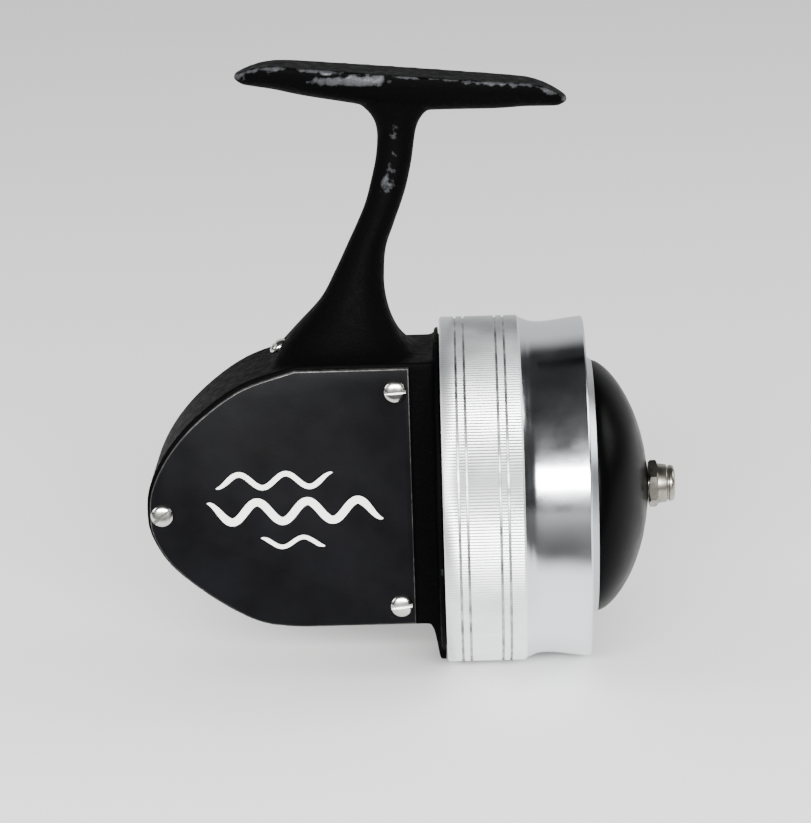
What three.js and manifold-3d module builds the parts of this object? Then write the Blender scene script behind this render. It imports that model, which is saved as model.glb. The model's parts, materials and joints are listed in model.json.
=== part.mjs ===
// A spincast fishing reel with its foot on top: a cast gear housing with an integral stem and foot,
// a screwed side plate, a crank on the left, and a winding head and spool under a turned front cover.
// Millimetres. Pieces are drawn with X along the spool axis towards the line exit, Y towards the crank
// and Z towards the foot, from the spool axis at the cover's rear edge. The whole reel is then moved
// so that the origin is the centre of the foot's flat seat.
import * as THREE from "three";
import { mergeVertices } from "three/addons/utils/BufferGeometryUtils.js";
import Module from "manifold-3d";

const wasm = await Module();
wasm.setup();

// Driving dimensions
const gap = 0.3; // between pieces that rest on each other
const wall = 2.2; // casting wall
const sideY = 12.8; // the housing's open side, at -Y
const leftY = 14; // the housing's closed side, at +Y
const topZ = 27.1;
const bottomZ = -22.3;
const rimStep = 0.7; // the housing stands out this far around the side plate
const plateThick = 1.2;
const plateFrontX = -5.8;

const foot = { length: 62, width: 12.7, pitch: 5.5, flatHalf: 22, droop: 2.6, seatX: -5.6, seatZ: 80.5 };
const flangeR = 31;
const flangeX = [-1.1, -gap];
const flareR = 32.4; // the housing spreads to the cover's edge underneath
const collar = { outerR: 30.2, innerR: 28, endX: 7 };

const cover = { knurlR: 32.9, knurlEnd: 15, bandR: 31.55, rimR: 32.45, rimX: 27.2, innerR: 30.5 };
const dome = { baseR: 23.9, baseX: 28.7, height: 10.3, thick: 1.5 };
const guide = { acrossFlats: 8, hexX: [39.1, 40.8], tipX: 44.1, boreR: 1.5, shankR: 2.5 };

const crankX = -34.5;
const crankRadius = 27;
const crankAngle = 58; // degrees from +X towards +Z at rest
const crankShaftR = 3;
const knob = { y0: 22.4, y1: 38.4, r: 5.2, boreR: 2.2 };
const arm = { y0: 18.4, y1: 20.8, hubR: 6, tipR: 4.6 };

const gearTeeth = 36;
const pinionTeeth = 12;
const pinionPitchR = 4.5;
const gearPitchR = pinionPitchR * gearTeeth / pinionTeeth;
const toothHeight = 0.9; // above and below the pitch line
const shaftR = 2.5;
const bushR = 4.4;
const shaftBoreR = 2.65;

const spool = { x0: 3, x1: 13, flangeR: 25, hubR: 12, flange: 1.2, boreR: 5.9 };
const sleeve = { r: 5.5, boreR: 3.3, flangeR: 9, x1: 18 };
const rotor = { x0: 12, discX: 19.2, x1: 21.2, skirtR: 28.5, skirtIn: 27 };
const pin = { x: 16.2, r: 1.1, tipR: 29.7, tailR: 20.6, collarR: 1.9, collarAt: 25.4 };

// Colours
const blackEnamel = { color: 0x0d0d0f, roughness: 0.45, metalness: 0.1 };
const blackPaint = { color: 0x1a1a1e, roughness: 0.5, metalness: 0.1 };
const brightAluminium = { color: 0xd2d4d8, roughness: 0.22, metalness: 1 };
const nickel = { color: 0xb9b7b0, roughness: 0.3, metalness: 1 };
const steel = { color: 0x8d9095, roughness: 0.35, metalness: 1 };
const brass = { color: 0xb58f45, roughness: 0.35, metalness: 1 };
const blackDome = { color: 0x0a0a0b, roughness: 0.3, metalness: 0.1 };
const amber = { color: 0xb56a1c, roughness: 0.2, metalness: 0 };
const fibre = { color: 0x6e2d22, roughness: 0.8, metalness: 0 };
const lineNylon = { color: 0xcfd3c2, roughness: 0.4, metalness: 0 };

// Solids
const rad = THREE.MathUtils.degToRad;

function solid(geometry) {
  const bare = geometry.index ? geometry.toNonIndexed() : geometry.clone();
  bare.deleteAttribute("normal");
  bare.deleteAttribute("uv");
  const merged = mergeVertices(bare, 1e-4);
  const kept = [];
  const index = merged.index.array;
  for (let i = 0; i < index.length; i += 3) {
    const [a, b, c] = index.slice(i, i + 3);
    if (a !== b && b !== c && a !== c) kept.push(a, b, c);
  }
  const spot = merged.attributes.position;
  const corner = [new THREE.Vector3(), new THREE.Vector3(), new THREE.Vector3()];
  let volume = 0;
  for (let i = 0; i < kept.length; i += 3) {
    corner.forEach((v, k) => v.fromBufferAttribute(spot, kept[i + k]));
    volume += corner[0].dot(corner[1].clone().cross(corner[2]));
  }
  if (volume < 0) kept.reverse();
  const mesh = new wasm.Mesh({
    numProp: 3,
    vertProperties: new Float32Array(spot.array),
    triVerts: new Uint32Array(kept),
  });
  return new wasm.Manifold(mesh);
}

const join = (first, ...rest) => rest.reduce((whole, next) => whole.add(next), first);
const cut = (first, ...rest) => rest.reduce((whole, next) => whole.subtract(next), first);

// Turned about the X axis from [x, radius] points that close on themselves or start and end on the axis.
function turnedX(points, segments = 28) {
  const lathe = new THREE.LatheGeometry(points.map(([x, r]) => new THREE.Vector2(r, x)), segments);
  return solid(lathe.rotateZ(-Math.PI / 2));
}

// Turned about an axis along Y at (x, z) from [y, radius] points.
function turnedY(points, x, z, segments = 24) {
  const lathe = new THREE.LatheGeometry(points.map(([y, r]) => new THREE.Vector2(r, y)), segments);
  return solid(lathe.translate(x, 0, z));
}

const rodX = (x0, x1, r, segments) => turnedX([[x0, 0], [x0, r], [x1, r], [x1, 0]], segments);
const rodY = (y0, y1, r, x, z, segments) =>
  turnedY([[y0, 0], [y0, r], [y1, r], [y1, 0]], x, z, segments);
const tubeX = (x0, x1, inner, outer, segments) =>
  turnedX([[x0, inner], [x0, outer], [x1, outer], [x1, inner], [x0, inner]], segments);
const tubeY = (y0, y1, inner, outer, x, z, segments) =>
  turnedY([[y0, inner], [y0, outer], [y1, outer], [y1, inner], [y0, inner]], x, z, segments);

function block(x0, x1, y0, y1, z0, z1) {
  const box = new THREE.BoxGeometry(x1 - x0, y1 - y0, z1 - z0);
  return solid(box.translate((x0 + x1) / 2, (y0 + y1) / 2, (z0 + z1) / 2));
}

// A shape drawn in X and Z, given thickness from y0 to y1.
function slabY(shape, y0, y1, options = {}) {
  const bevel = options.bevelThickness ?? 0;
  const depth = y1 - y0 - 2 * bevel;
  const slab = new THREE.ExtrudeGeometry(shape, { depth, bevelEnabled: false, ...options });
  return solid(slab.rotateX(Math.PI / 2).translate(0, y1 - bevel, 0));
}

// A shape drawn in Y and Z, given thickness from x0 to x1.
function slabX(shape, x0, x1) {
  const slab = new THREE.ExtrudeGeometry(shape, { depth: x1 - x0, bevelEnabled: false });
  const turn = new THREE.Matrix4().makeBasis(
    new THREE.Vector3(0, 1, 0), new THREE.Vector3(0, 0, 1), new THREE.Vector3(1, 0, 0));
  return solid(slab.applyMatrix4(turn).translate(x0, 0, 0));
}

function polygon(sides, acrossFlats) {
  const r = acrossFlats / 2 / Math.cos(Math.PI / sides);
  const corners = Array.from({ length: sides }, (_, i) => {
    const a = (i + 0.5) * 2 * Math.PI / sides;
    return new THREE.Vector2(r * Math.cos(a), r * Math.sin(a));
  });
  return new THREE.Shape(corners);
}

// A closed solid through round sections: place(t, angle) gives the point at t from 0 to 1.
function lofted(steps, sides, place) {
  const tube = new THREE.CylinderGeometry(1, 1, 1, sides, steps);
  const spot = tube.attributes.position;
  for (let i = 0; i < spot.count; i++) {
    const t = spot.getY(i) + 0.5;
    const r = Math.hypot(spot.getX(i), spot.getZ(i));
    const p = place(t, Math.atan2(spot.getZ(i), spot.getX(i)), r < 0.5 ? 0 : 1);
    spot.setXYZ(i, p.x, p.y, p.z);
  }
  return solid(tube);
}

// Housing outline seen from the side, moved outwards by grow
function bodyOutline(grow, frontX) {
  const middle = new THREE.Vector2(-27, 2.4);
  const rear = [
    [-27, topZ], [-36.8, 23.9], [-44.7, 18.5], [-50.6, 12.2], [-54.2, 5.6], [-55, 0.4],
    [-54.3, -4.2], [-51.2, -9.6], [-45.6, -14.7], [-39.1, -19.1], [-33.6, -21.5], [-27, bottomZ],
  ].map(([x, z]) => {
    const from = new THREE.Vector2(x, z).sub(middle);
    return from.setLength(from.length() + grow).add(middle);
  });
  const shape = new THREE.Shape();
  shape.moveTo(frontX, topZ + grow);
  shape.lineTo(rear[0].x, rear[0].y);
  shape.splineThru(rear.slice(1));
  shape.lineTo(frontX, bottomZ - grow);
  shape.closePath();
  return new THREE.Shape(shape.getPoints(3).slice(0, -1));
}

// A value read from [position, value] pairs by a smooth curve through them
function along(pairs) {
  const curve = new THREE.SplineCurve(pairs.map(([p, v]) => new THREE.Vector2(p, v)));
  const points = curve.getPoints(80);
  return (p) => {
    const i = points.findIndex((q) => q.x >= p);
    if (i < 0) return points[points.length - 1].y;
    if (i === 0) return points[0].y;
    const [a, b] = [points[i - 1], points[i]];
    return a.y + (b.y - a.y) * (p - a.x) / (b.x - a.x);
  };
}

const stemBack = along([
  [20, -34], [27, -31.5], [32, -27.6], [37.7, -22.3], [42.8, -19.4], [48.7, -16.5], [52.4, -14.7],
  [56.1, -13.1], [60.3, -11.9], [64.6, -10.9], [69.3, -10.5], [72.2, -11.3], [74.5, -13.4], [76.5, -16.4],
]);
const stemFront = along([
  [20, -3.4], [27.1, -3.8], [28.4, -5.2], [30, -6.6], [32, -7.9], [35, -9.1], [38.8, -9.9], [42.5, -10],
  [47.4, -9.5], [51.6, -8], [58.1, -5.6], [63.8, -4.2], [69.3, -3.3], [71.9, -2.2], [74.2, 0.2],
  [76.5, 3.2],
]);
const stemHalfWidth = along([
  [20, 12.7], [27.1, 12.4], [29, 10.6], [32, 8.8], [38, 6.4], [46, 5], [56, 4.1], [65, 3.5], [68.5, 3.5],
  [72, 3.9], [75, 4.5], [76.5, 4.8],
]);
// Sections are squarish where the stem grows out of the housing, then turn to ellipses
const stemSquareness = along([[20, 0.45], [27.1, 0.5], [31, 0.7], [38, 0.9], [48, 1], [76.5, 1]]);

function stemSolid() {
  const [low, high] = [20, 76.5];
  return lofted(18, 16, (t, angle, r) => {
    const z = low + (high - low) * t;
    const [back, front] = [stemBack(z), stemFront(z)];
    const bulged = (share) => Math.sign(share) * Math.abs(share) ** stemSquareness(z);
    const x = (back + front) / 2 + r * (front - back) / 2 * bulged(Math.cos(angle));
    return new THREE.Vector3(x, r * stemHalfWidth(z) * bulged(Math.sin(angle)), z);
  });
}

// The seat is flat as far as flatHalf from its centre, then bends down to the tips
const footBend = (away) => Math.max(0, (away - foot.flatHalf) / (foot.length / 2 - foot.flatHalf));
const footDroop = (away) => foot.droop * footBend(away) ** 2;
const footDepth = along([[0, 7.4], [10, 6.4], [18.7, 5.6], [25, 4.5], [29, 2.9], [31, 1.3]]);

function footSolid() {
  const half = foot.length / 2;
  const edge = 0.9; // the seat's edge is this thick before the hull turns under
  return lofted(18, 14, (t, angle, r) => {
    const s = half * Math.sin(Math.PI * (t - 0.5)); // stations close up towards the tips
    const away = Math.abs(s);
    const width = foot.width / 2 * Math.sqrt(1 - (away / (half + 0.5)) ** 4);
    const side = Math.cos(angle);
    const under = Math.sin(angle);
    const thick = footDepth(away);
    const drop = under > 0 ? edge * Math.min(1, thick / 3) + (thick - edge) * under : 0;
    return new THREE.Vector3(s, r * width * side, -footDroop(away) - r * Math.max(0, drop));
  });
}

function placedFoot(part) {
  const geometry = asGeometry(part);
  geometry.rotateY(rad(foot.pitch));
  geometry.translate(foot.seatX, 0, foot.seatZ);
  return solid(geometry);
}

function asGeometry(part) {
  const mesh = part.getMesh();
  const geometry = new THREE.BufferGeometry();
  const spots = new Float32Array(mesh.numVert * 3);
  for (let v = 0; v < mesh.numVert; v++) {
    for (let k = 0; k < 3; k++) spots[3 * v + k] = mesh.vertProperties[v * mesh.numProp + k];
  }
  geometry.setAttribute("position", new THREE.BufferAttribute(spots, 3));
  geometry.setIndex(new THREE.BufferAttribute(new Uint32Array(mesh.triVerts), 1));
  return geometry;
}

const plateScrews = { upper: [-8.4, 22.9], lower: [-8.4, -18.6], rear: [-52.7, 0.2] };
const oilPort = { x: -30.3, z: 28.6, tilt: 40 }; // the oil screw leans back by tilt degrees
const rearWebX = [-30.2, -27.2];

function housing() {
  const rounding = { bevelThickness: 2.5, bevelSize: 2.5, bevelOffset: -2.5, bevelSegments: 3 };
  const outside = slabY(bodyOutline(rimStep, -1.2), -sideY - 5, leftY, { bevelEnabled: true, ...rounding });
  const trimmed = cut(outside, block(-70, 10, -30, -sideY, -40, 40));
  const flange = rodX(...flangeX, flangeR, 40);
  const collarRing = tubeX(flangeX[0], collar.endX, collar.innerR, collar.outerR, 40);
  const flare = turnedX([[-7, 0], [-7, 22], [-5.5, 23.2], [-3.6, 24.6], [-2.4, 27], [-1.8, 30],
    [-1.4, flareR], [-gap, flareR], [-gap, 0]], 40).intersect(block(-10, 0, -sideY, leftY, -40, -10));
  const crankBoss = rodY(leftY - 1, 16.5, 7, crankX, 0, 40);
  const shell = join(trimmed, flange, collarRing, flare, crankBoss, stemSolid(), placedFoot(footSolid()));
  const cavity = slabY(bodyOutline(-wall, -5.2), -sideY - 1, leftY - wall);
  const bosses = Object.values(plateScrews).map(([x, z]) => rodY(-sideY, 2, 3.3, x, z, 24));
  const web = block(...rearWebX, -8, 2.9, bottomZ + 1, topZ - 1);
  const bearingSeat = rodX(...rearWebX, 5.1, 24);
  const kept = join(web, bearingSeat, ...bosses).intersect(slabY(bodyOutline(0, -1.2), -sideY, leftY));
  const hollow = cavity.subtract(kept);
  const screwHoles = Object.values(plateScrews).map(([x, z]) => rodY(-sideY - 1, -4, 1.35, x, z, 16));
  const bores = [
    rodX(-40, 10, bushR + 0.1, 24).intersect(block(-31, 8, -6, 6, -6, 6)),
    rodY(4, 20, 4.6, crankX, 0, 32),
    turnedOnOilPort([[-9, 0], [-9, 1.25], [1, 1.25], [1, 0]]),
    turnedOnOilPort([[-0.3, 0], [-0.3, 2.3], [5, 2.3], [5, 0]]), // a flat spot for the screw's head
  ];
  return cut(shell, hollow, ...bores, ...screwHoles);
}

// Turned about the oil port's axis from [height, radius] points
function turnedOnOilPort(points) {
  const lathe = new THREE.LatheGeometry(points.map(([h, q]) => new THREE.Vector2(q, h)), 20);
  lathe.rotateX(Math.PI / 2).rotateY(rad(-oilPort.tilt));
  return solid(lathe.translate(oilPort.x, 0, oilPort.z));
}

function roundHeadY(face, out, x, z, headR, headHigh, shankR, shankLong) {
  const dome = [0, 0.35, 0.7, 1].map((t) => {
    const a = t * Math.PI / 2;
    return [face + out * (0.25 + (headHigh - 0.25) * Math.sin(a)), headR * Math.cos(a)];
  });
  dome[dome.length - 1][1] = 0;
  const body = turnedY([[face - out * shankLong, 0], [face - out * shankLong, shankR], [face, shankR],
    [face, headR], ...dome], x, z, 20);
  return body;
}

function plateScrew([x, z], slotAngle) {
  const face = -sideY - gap - plateThick - 0.1;
  const slot = new THREE.BoxGeometry(6, 1, 0.65).rotateY(rad(slotAngle)).translate(x, face - 1.15, z);
  return cut(roundHeadY(face, -1, x, z, 2.15, 1.15, 1.05, 6.5), solid(slot));
}

function sidePlate() {
  const shape = bodyOutline(0, plateFrontX);
  const holes = Object.values(plateScrews).map(([x, z]) => rodY(-20, 0, 1.4, x, z, 20));
  return cut(slabY(shape, -sideY - gap - plateThick, -sideY - gap), ...holes);
}

// Winding gears
function pinion() {
  const pitch = 2 * Math.PI / pinionTeeth;
  const shape = new THREE.Shape();
  const [tip, root] = [pinionPitchR + toothHeight, pinionPitchR - toothHeight - 0.2];
  for (let i = 0; i < pinionTeeth; i++) {
    const middle = (i + 0.5) * pitch;
    const corners = [[root, -0.19], [tip, -0.055], [tip, 0.055], [root, 0.19]];
    for (const [r, share] of corners) {
      const a = middle + share * pitch;
      const [y, z] = [r * Math.cos(a), r * Math.sin(a)];
      if (i === 0 && share === -0.19) shape.moveTo(y, z);
      else shape.lineTo(y, z);
    }
  }
  shape.closePath();
  const x = crankX + gearPitchR;
  return cut(slabX(shape, x - 2.4, x + 2.4), rodX(x - 5, x + 5, shaftBoreR, 20));
}

function driveGear() {
  const [tipY, rootY] = [pinionPitchR - toothHeight, pinionPitchR + toothHeight + 0.2];
  const [inner, outer] = [gearPitchR - 1.2, gearPitchR + 1.2];
  const blank = join(rodY(rootY, 8, outer + 0.4, crankX, 0, 48), rodY(7.8, 9.2, 5.2, crankX, 0, 32));
  const teeth = [];
  for (let i = 0; i < gearTeeth; i++) {
    const outline = new THREE.Shape([
      new THREE.Vector2(-0.55, rootY + 0.2), new THREE.Vector2(-0.25, tipY),
      new THREE.Vector2(0.25, tipY), new THREE.Vector2(0.55, rootY + 0.2),
    ]);
    const tooth = new THREE.ExtrudeGeometry(outline, { depth: outer - inner, bevelEnabled: false });
    const stand = new THREE.Matrix4().makeBasis(
      new THREE.Vector3(0, 0, 1), new THREE.Vector3(0, 1, 0), new THREE.Vector3(1, 0, 0));
    tooth.applyMatrix4(stand).translate(inner, 0, 0);
    tooth.rotateY(i * 2 * Math.PI / gearTeeth).translate(crankX, 0, 0);
    teeth.push(solid(tooth));
  }
  return cut(join(blank, ...teeth), rodY(0, 12, crankShaftR + 0.15, crankX, 0, 32));
}

// Crank
const knobX = crankX + crankRadius * Math.cos(rad(crankAngle));
const knobZ = crankRadius * Math.sin(rad(crankAngle));

function crankArm() {
  const a = rad(crankAngle);
  const lean = Math.asin((arm.hubR - arm.tipR) / crankRadius);
  const shape = new THREE.Shape();
  shape.absarc(crankX, 0, arm.hubR, a + Math.PI / 2 - lean, a - Math.PI / 2 + lean + 2 * Math.PI, false);
  shape.absarc(knobX, knobZ, arm.tipR, a - Math.PI / 2 + lean, a + Math.PI / 2 - lean, false);
  const blank = slabY(new THREE.Shape(shape.getPoints(12)), arm.y0, arm.y1);
  return cut(blank, rodY(0, 40, 2.65, crankX, 0, 28), rodY(0, 40, 1.95, knobX, knobZ, 24));
}

function crankShaft() {
  const blank = turnedY([[5.2, 0], [5.2, crankShaftR], [18.2, crankShaftR], [18.2, 2.45],
    [23.6, 2.45], [24, 2.1], [24, 0]], crankX, 0, 32);
  return cut(blank, rodY(0, 11, 1.4, crankX, 0, 20));
}

function gearScrew() {
  const slot = block(crankX - 4, crankX + 4, 2, 3.9, -0.35, 0.35);
  return cut(turnedY([[3.4, 0], [3.4, 3], [4.9, 3.4], [4.9, 1.2], [10, 1.2], [10, 0]], crankX, 0, 28), slot);
}

function crankNut() {
  const hex = polygon(6, 8);
  const spots = hex.getPoints().map((p) => new THREE.Vector2(p.x + crankX, p.y));
  return cut(slabY(new THREE.Shape(spots), arm.y1 + 0.2, arm.y1 + 3), rodY(0, 40, 2.6, crankX, 0, 28));
}

function knobRivet() {
  return turnedY([[17.5, 0], [17.5, 2.2], [18.1, 2.6], [18.1, 1.8], [arm.y1 + 0.2, 1.8],
    [arm.y1 + 0.2, 3], [knob.y0 - 0.3, 3], [knob.y0 - 0.3, 1.9], [knob.y1 + 0.2, 1.9],
    [knob.y1 + 0.2, 3.1], [knob.y1 + 0.6, 2.9], [knob.y1 + 1.2, 1.6], [knob.y1 + 1.35, 0]],
  knobX, knobZ, 20);
}

function handleKnob() {
  const { y0, y1, r, boreR } = knob;
  return turnedY([[y0, boreR], [y0, 3.5], [y0 + 0.8, 3.9], [y0 + 3, 4], [y0 + 6.5, 4.7], [y0 + 10, r],
    [y0 + 13, 5], [y1 - 1, 4.2], [y1, 3.5], [y1, boreR], [y0, boreR]], knobX, knobZ, 28);
}

// Winding head, spool and drag
function rotorCup() {
  const { x0, discX, x1, skirtR, skirtIn } = rotor;
  const cup = turnedX([[discX, 2.65], [discX, skirtIn - 1.2], [discX - 1.2, skirtIn], [x0, skirtIn],
    [x0, skirtR], [discX - 0.8, skirtR], [discX + 0.8, skirtR - 0.6], [x1, skirtR - 2.4], [x1, 2.65],
    [discX, 2.65]], 36);
  const lug = block(pin.x - 2.2, discX + 0.5, -2.6, 2.6, 20.2, 21.4);
  const pinHole = new THREE.CylinderGeometry(pin.r + 0.25, pin.r + 0.25, 14, 20);
  const radial = solid(pinHole.rotateX(Math.PI / 2).translate(pin.x, 0, 24));
  return cut(join(cup, lug), radial);
}

function pickupPin() {
  const { tailR, tipR, r, collarR, collarAt } = pin;
  const points = [[tailR, 0], [tailR, r], [collarAt, r], [collarAt, collarR], [collarAt + 0.8, collarR],
    [collarAt + 0.8, r], [tipR - 0.5, r], [tipR, r - 0.45], [tipR, 0]];
  const lathe = new THREE.LatheGeometry(points.map(([h, q]) => new THREE.Vector2(q, h)), 20);
  return solid(lathe.rotateX(Math.PI / 2).translate(pin.x, 0, 0));
}

class Helix extends THREE.Curve {
  constructor(r, start, end, turns) {
    super();
    Object.assign(this, { r, start, end, turns });
  }
  getPoint(t) {
    const a = t * this.turns * 2 * Math.PI;
    const z = this.start + (this.end - this.start) * t;
    return new THREE.Vector3(pin.x + this.r * Math.cos(a), this.r * Math.sin(a), z);
  }
}

function pickupSpring() {
  const wire = 0.17;
  const section = new THREE.Shape(polygon(4, 2 * wire).getPoints());
  const path = new Helix(1.6, 21.7, pin.collarAt - 0.3, 4);
  return solid(new THREE.ExtrudeGeometry(section, { steps: 32, extrudePath: path, bevelEnabled: false }));
}

function spoolBody() {
  const { x0, x1, flangeR: big, hubR, flange, boreR } = spool;
  return turnedX([[x0, boreR], [x0, big - 0.4], [x0 + 0.3, big], [x0 + flange, big], [x0 + flange, hubR],
    [x1 - flange, hubR], [x1 - flange, big], [x1 - 0.3, big], [x1, big - 0.4], [x1, boreR], [x0, boreR]], 32);
}

function lineWinding() {
  const [x0, x1] = [spool.x0 + spool.flange + 0.3, spool.x1 - spool.flange - 0.3];
  const inner = spool.hubR + 0.3;
  const crown = 22.4;
  return turnedX([[x0, inner], [x0, crown - 0.5], [x0 + 2, crown], [x1 - 2, crown], [x1, crown - 0.5],
    [x1, inner], [x0, inner]], 32);
}

function hexRing(acrossFlats, x0, x1, boreR) {
  return cut(slabX(polygon(6, acrossFlats), x0, x1), rodX(x0 - 1, x1 + 1, boreR, 28));
}

// Front cover and nose
function frontCover() {
  const { knurlR, knurlEnd, bandR, rimR, rimX, innerR } = cover;
  const groove = (x) => [[x - 0.3, knurlR], [x, knurlR - 0.35], [x + 0.3, knurlR]];
  const grooves = [2.95, 4.5, 10.5, 12.05].flatMap(groove);
  return turnedX([[0, innerR], [0, knurlR - 0.3], [0.3, knurlR], ...grooves, [knurlEnd - 0.2, knurlR],
    [knurlEnd, knurlR - 0.3], [knurlEnd + 0.9, bandR + 0.7], [knurlEnd + 2.2, bandR + 0.15],
    [knurlEnd + 3.5, bandR], [knurlEnd + 5.5, bandR + 0.1], [knurlEnd + 8.5, bandR + 0.5],
    [rimX - 0.3, rimR], [rimX, rimR - 0.25], [rimX + 0.1, 25], [dome.baseX, dome.baseR + 0.1],
    [dome.baseX, 22.2], [25.6, 22.2], [25.6, 28.9], [24.2, innerR], [0, innerR]], 40);
}

const domeOuter = (t) => dome.baseR * Math.sqrt(Math.max(0, 1 - t ** 1.5));

function noseDome() {
  const start = dome.baseX + 0.1;
  const outer = [0, 0.1, 0.25, 0.42, 0.6, 0.77, 0.9, 0.97]
    .map((t) => [start + (dome.height - 0.1) * t, domeOuter(t)]);
  const holeR = guide.shankR + 0.2;
  const apex = dome.baseX + dome.height - 0.1;
  const inner = outer.slice(1).reverse().map(([x, r]) => [x - dome.thick, Math.max(r - 0.9, holeR)]);
  return turnedX([...outer, [apex, holeR], [apex - dome.thick, holeR], ...inner.slice(0, -1),
    [start, 20.6], [26, 20.6], [26, 21.9], [start, 21.9], outer[0]], 32);
}

function lineGuide() {
  const [x0, x1] = guide.hexX;
  const { tipX, boreR, shankR } = guide;
  const barrel = turnedX([[35.4, 0], [35.4, shankR], [x0, shankR], [x0, 3.9], [x1, 3.9], [x1 + 0.1, 3.8],
    [x1 + 1.7, 3.6], [x1 + 1.9, 3.2], [x1 + 2.1, 3.2], [x1 + 2.3, 3.5], [tipX - 0.5, 3.4],
    [tipX, 2.8], [tipX, 0]], 20);
  return cut(join(barrel, slabX(polygon(6, guide.acrossFlats), x0, x1)), rodX(30, 50, boreR, 28));
}

function shaftClip() {
  const ring = tubeX(-30.95, -30.45, 1.75, 3.6, 28);
  return cut(ring, block(-32, -30, -1.3, 1.3, 0, 5));
}

function centreShaft() {
  return turnedX([[-31.6, 0], [-31.6, 1.7], [-31.05, 1.95], [-31.05, 1.6], [-30.35, 1.6], [-30.35, shaftR],
    [24, shaftR], [24.5, 2], [24.5, 0]], 20);
}

const sleeveBush = (x0, x1) => tubeX(x0, x1, shaftBoreR, bushR, 24);

function crankBushing() {
  return turnedY([[10.3, 3.1], [10.3, 6], [11.5, 6], [11.5, 4.5], [17.2, 4.5], [17.2, 3.1], [10.3, 3.1]],
    crankX, 0, 32);
}

function spoolSleeve() {
  return turnedX([[0, sleeve.boreR], [0, sleeve.flangeR], [1.5, sleeve.flangeR],
    [1.5, sleeve.r], [sleeve.x1, sleeve.r], [sleeve.x1, sleeve.boreR], [0, sleeve.boreR]], 24);
}

function oilScrew() {
  const head = [[0, 1.9], [0.5, 1.85], [0.95, 1.5], [1.25, 0.9], [1.35, 0]];
  const body = turnedOnOilPort([[-5, 0], [-5, 0.95], [0, 0.95], ...head]);
  const slot = new THREE.BoxGeometry(0.5, 6, 0.8).translate(0, 0, 1.35).rotateY(rad(-oilPort.tilt));
  return cut(body, solid(slot.translate(oilPort.x, 0, oilPort.z)));
}

// Assembly
const reel = new THREE.Group();
const drawing = new THREE.Group();
drawing.position.set(-foot.seatX, 0, -foot.seatZ);
reel.add(drawing);

function piece(name, part, look) {
  const mesh = new THREE.Mesh(asGeometry(part), new THREE.MeshStandardMaterial(look));
  mesh.name = name;
  drawing.add(mesh);
}

piece("housing", housing(), blackEnamel);
piece("side_plate", sidePlate(), blackPaint);
piece("plate_screw_upper", plateScrew(plateScrews.upper, -3), nickel);
piece("plate_screw_lower", plateScrew(plateScrews.lower, -5), nickel);
piece("plate_screw_rear", plateScrew(plateScrews.rear, -37), nickel);
piece("oil_screw", oilScrew(), nickel);

piece("crank_bushing", crankBushing(), brass);
piece("crank_shaft", crankShaft(), steel);
piece("thrust_washer", tubeY(9.4, 10, 3.3, 5.4, crankX, 0, 32), steel);
piece("drive_gear", driveGear(), brass);
piece("gear_screw", gearScrew(), steel);
piece("crank_arm", crankArm(), nickel);
piece("crank_nut", crankNut(), nickel);
piece("knob_rivet", knobRivet(), nickel);
piece("handle_knob", handleKnob(), amber);

piece("pinion", pinion(), brass);
piece("centre_shaft", centreShaft(), steel);
piece("rear_shaft_bushing", sleeveBush(...rearWebX), brass);
piece("front_shaft_bushing", sleeveBush(-5.2, -0.4), brass);
piece("shaft_clip", shaftClip(), steel);

piece("spool_sleeve", spoolSleeve(), steel);
piece("spool_rear_washer", tubeX(1.8, 2.7, 5.8, 10, 24), fibre);
piece("spool", spoolBody(), brightAluminium);
piece("line_winding", lineWinding(), lineNylon);
piece("drag_washer", tubeX(13.3, 14, 5.8, 10, 24), fibre);
piece("drag_spring", turnedX([[14.3, 6], [14.7, 9.6], [15.1, 9.6], [14.7, 6], [14.3, 6]], 24), steel);
piece("drag_nut", hexRing(14, 15.4, 17.6, 5.8), brass);

piece("rotor_cup", rotorCup(), brightAluminium);
piece("rotor_nut", hexRing(8, 21.5, 23.7, 2.65), nickel);
piece("pickup_pin", pickupPin(), steel);
piece("pickup_spring", pickupSpring(), steel);

piece("front_cover", frontCover(), brightAluminium);
piece("nose_dome", noseDome(), blackDome);
piece("line_guide", lineGuide(), nickel);
piece("guide_locknut", hexRing(8, 35.6, 37.1, guide.shankR + 0.15), nickel);

export default reel;
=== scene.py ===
import json
import math

import bmesh
import bpy
import numpy as np
from mathutils import Matrix, Vector
from mathutils.geometry import interpolate_bezier


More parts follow.
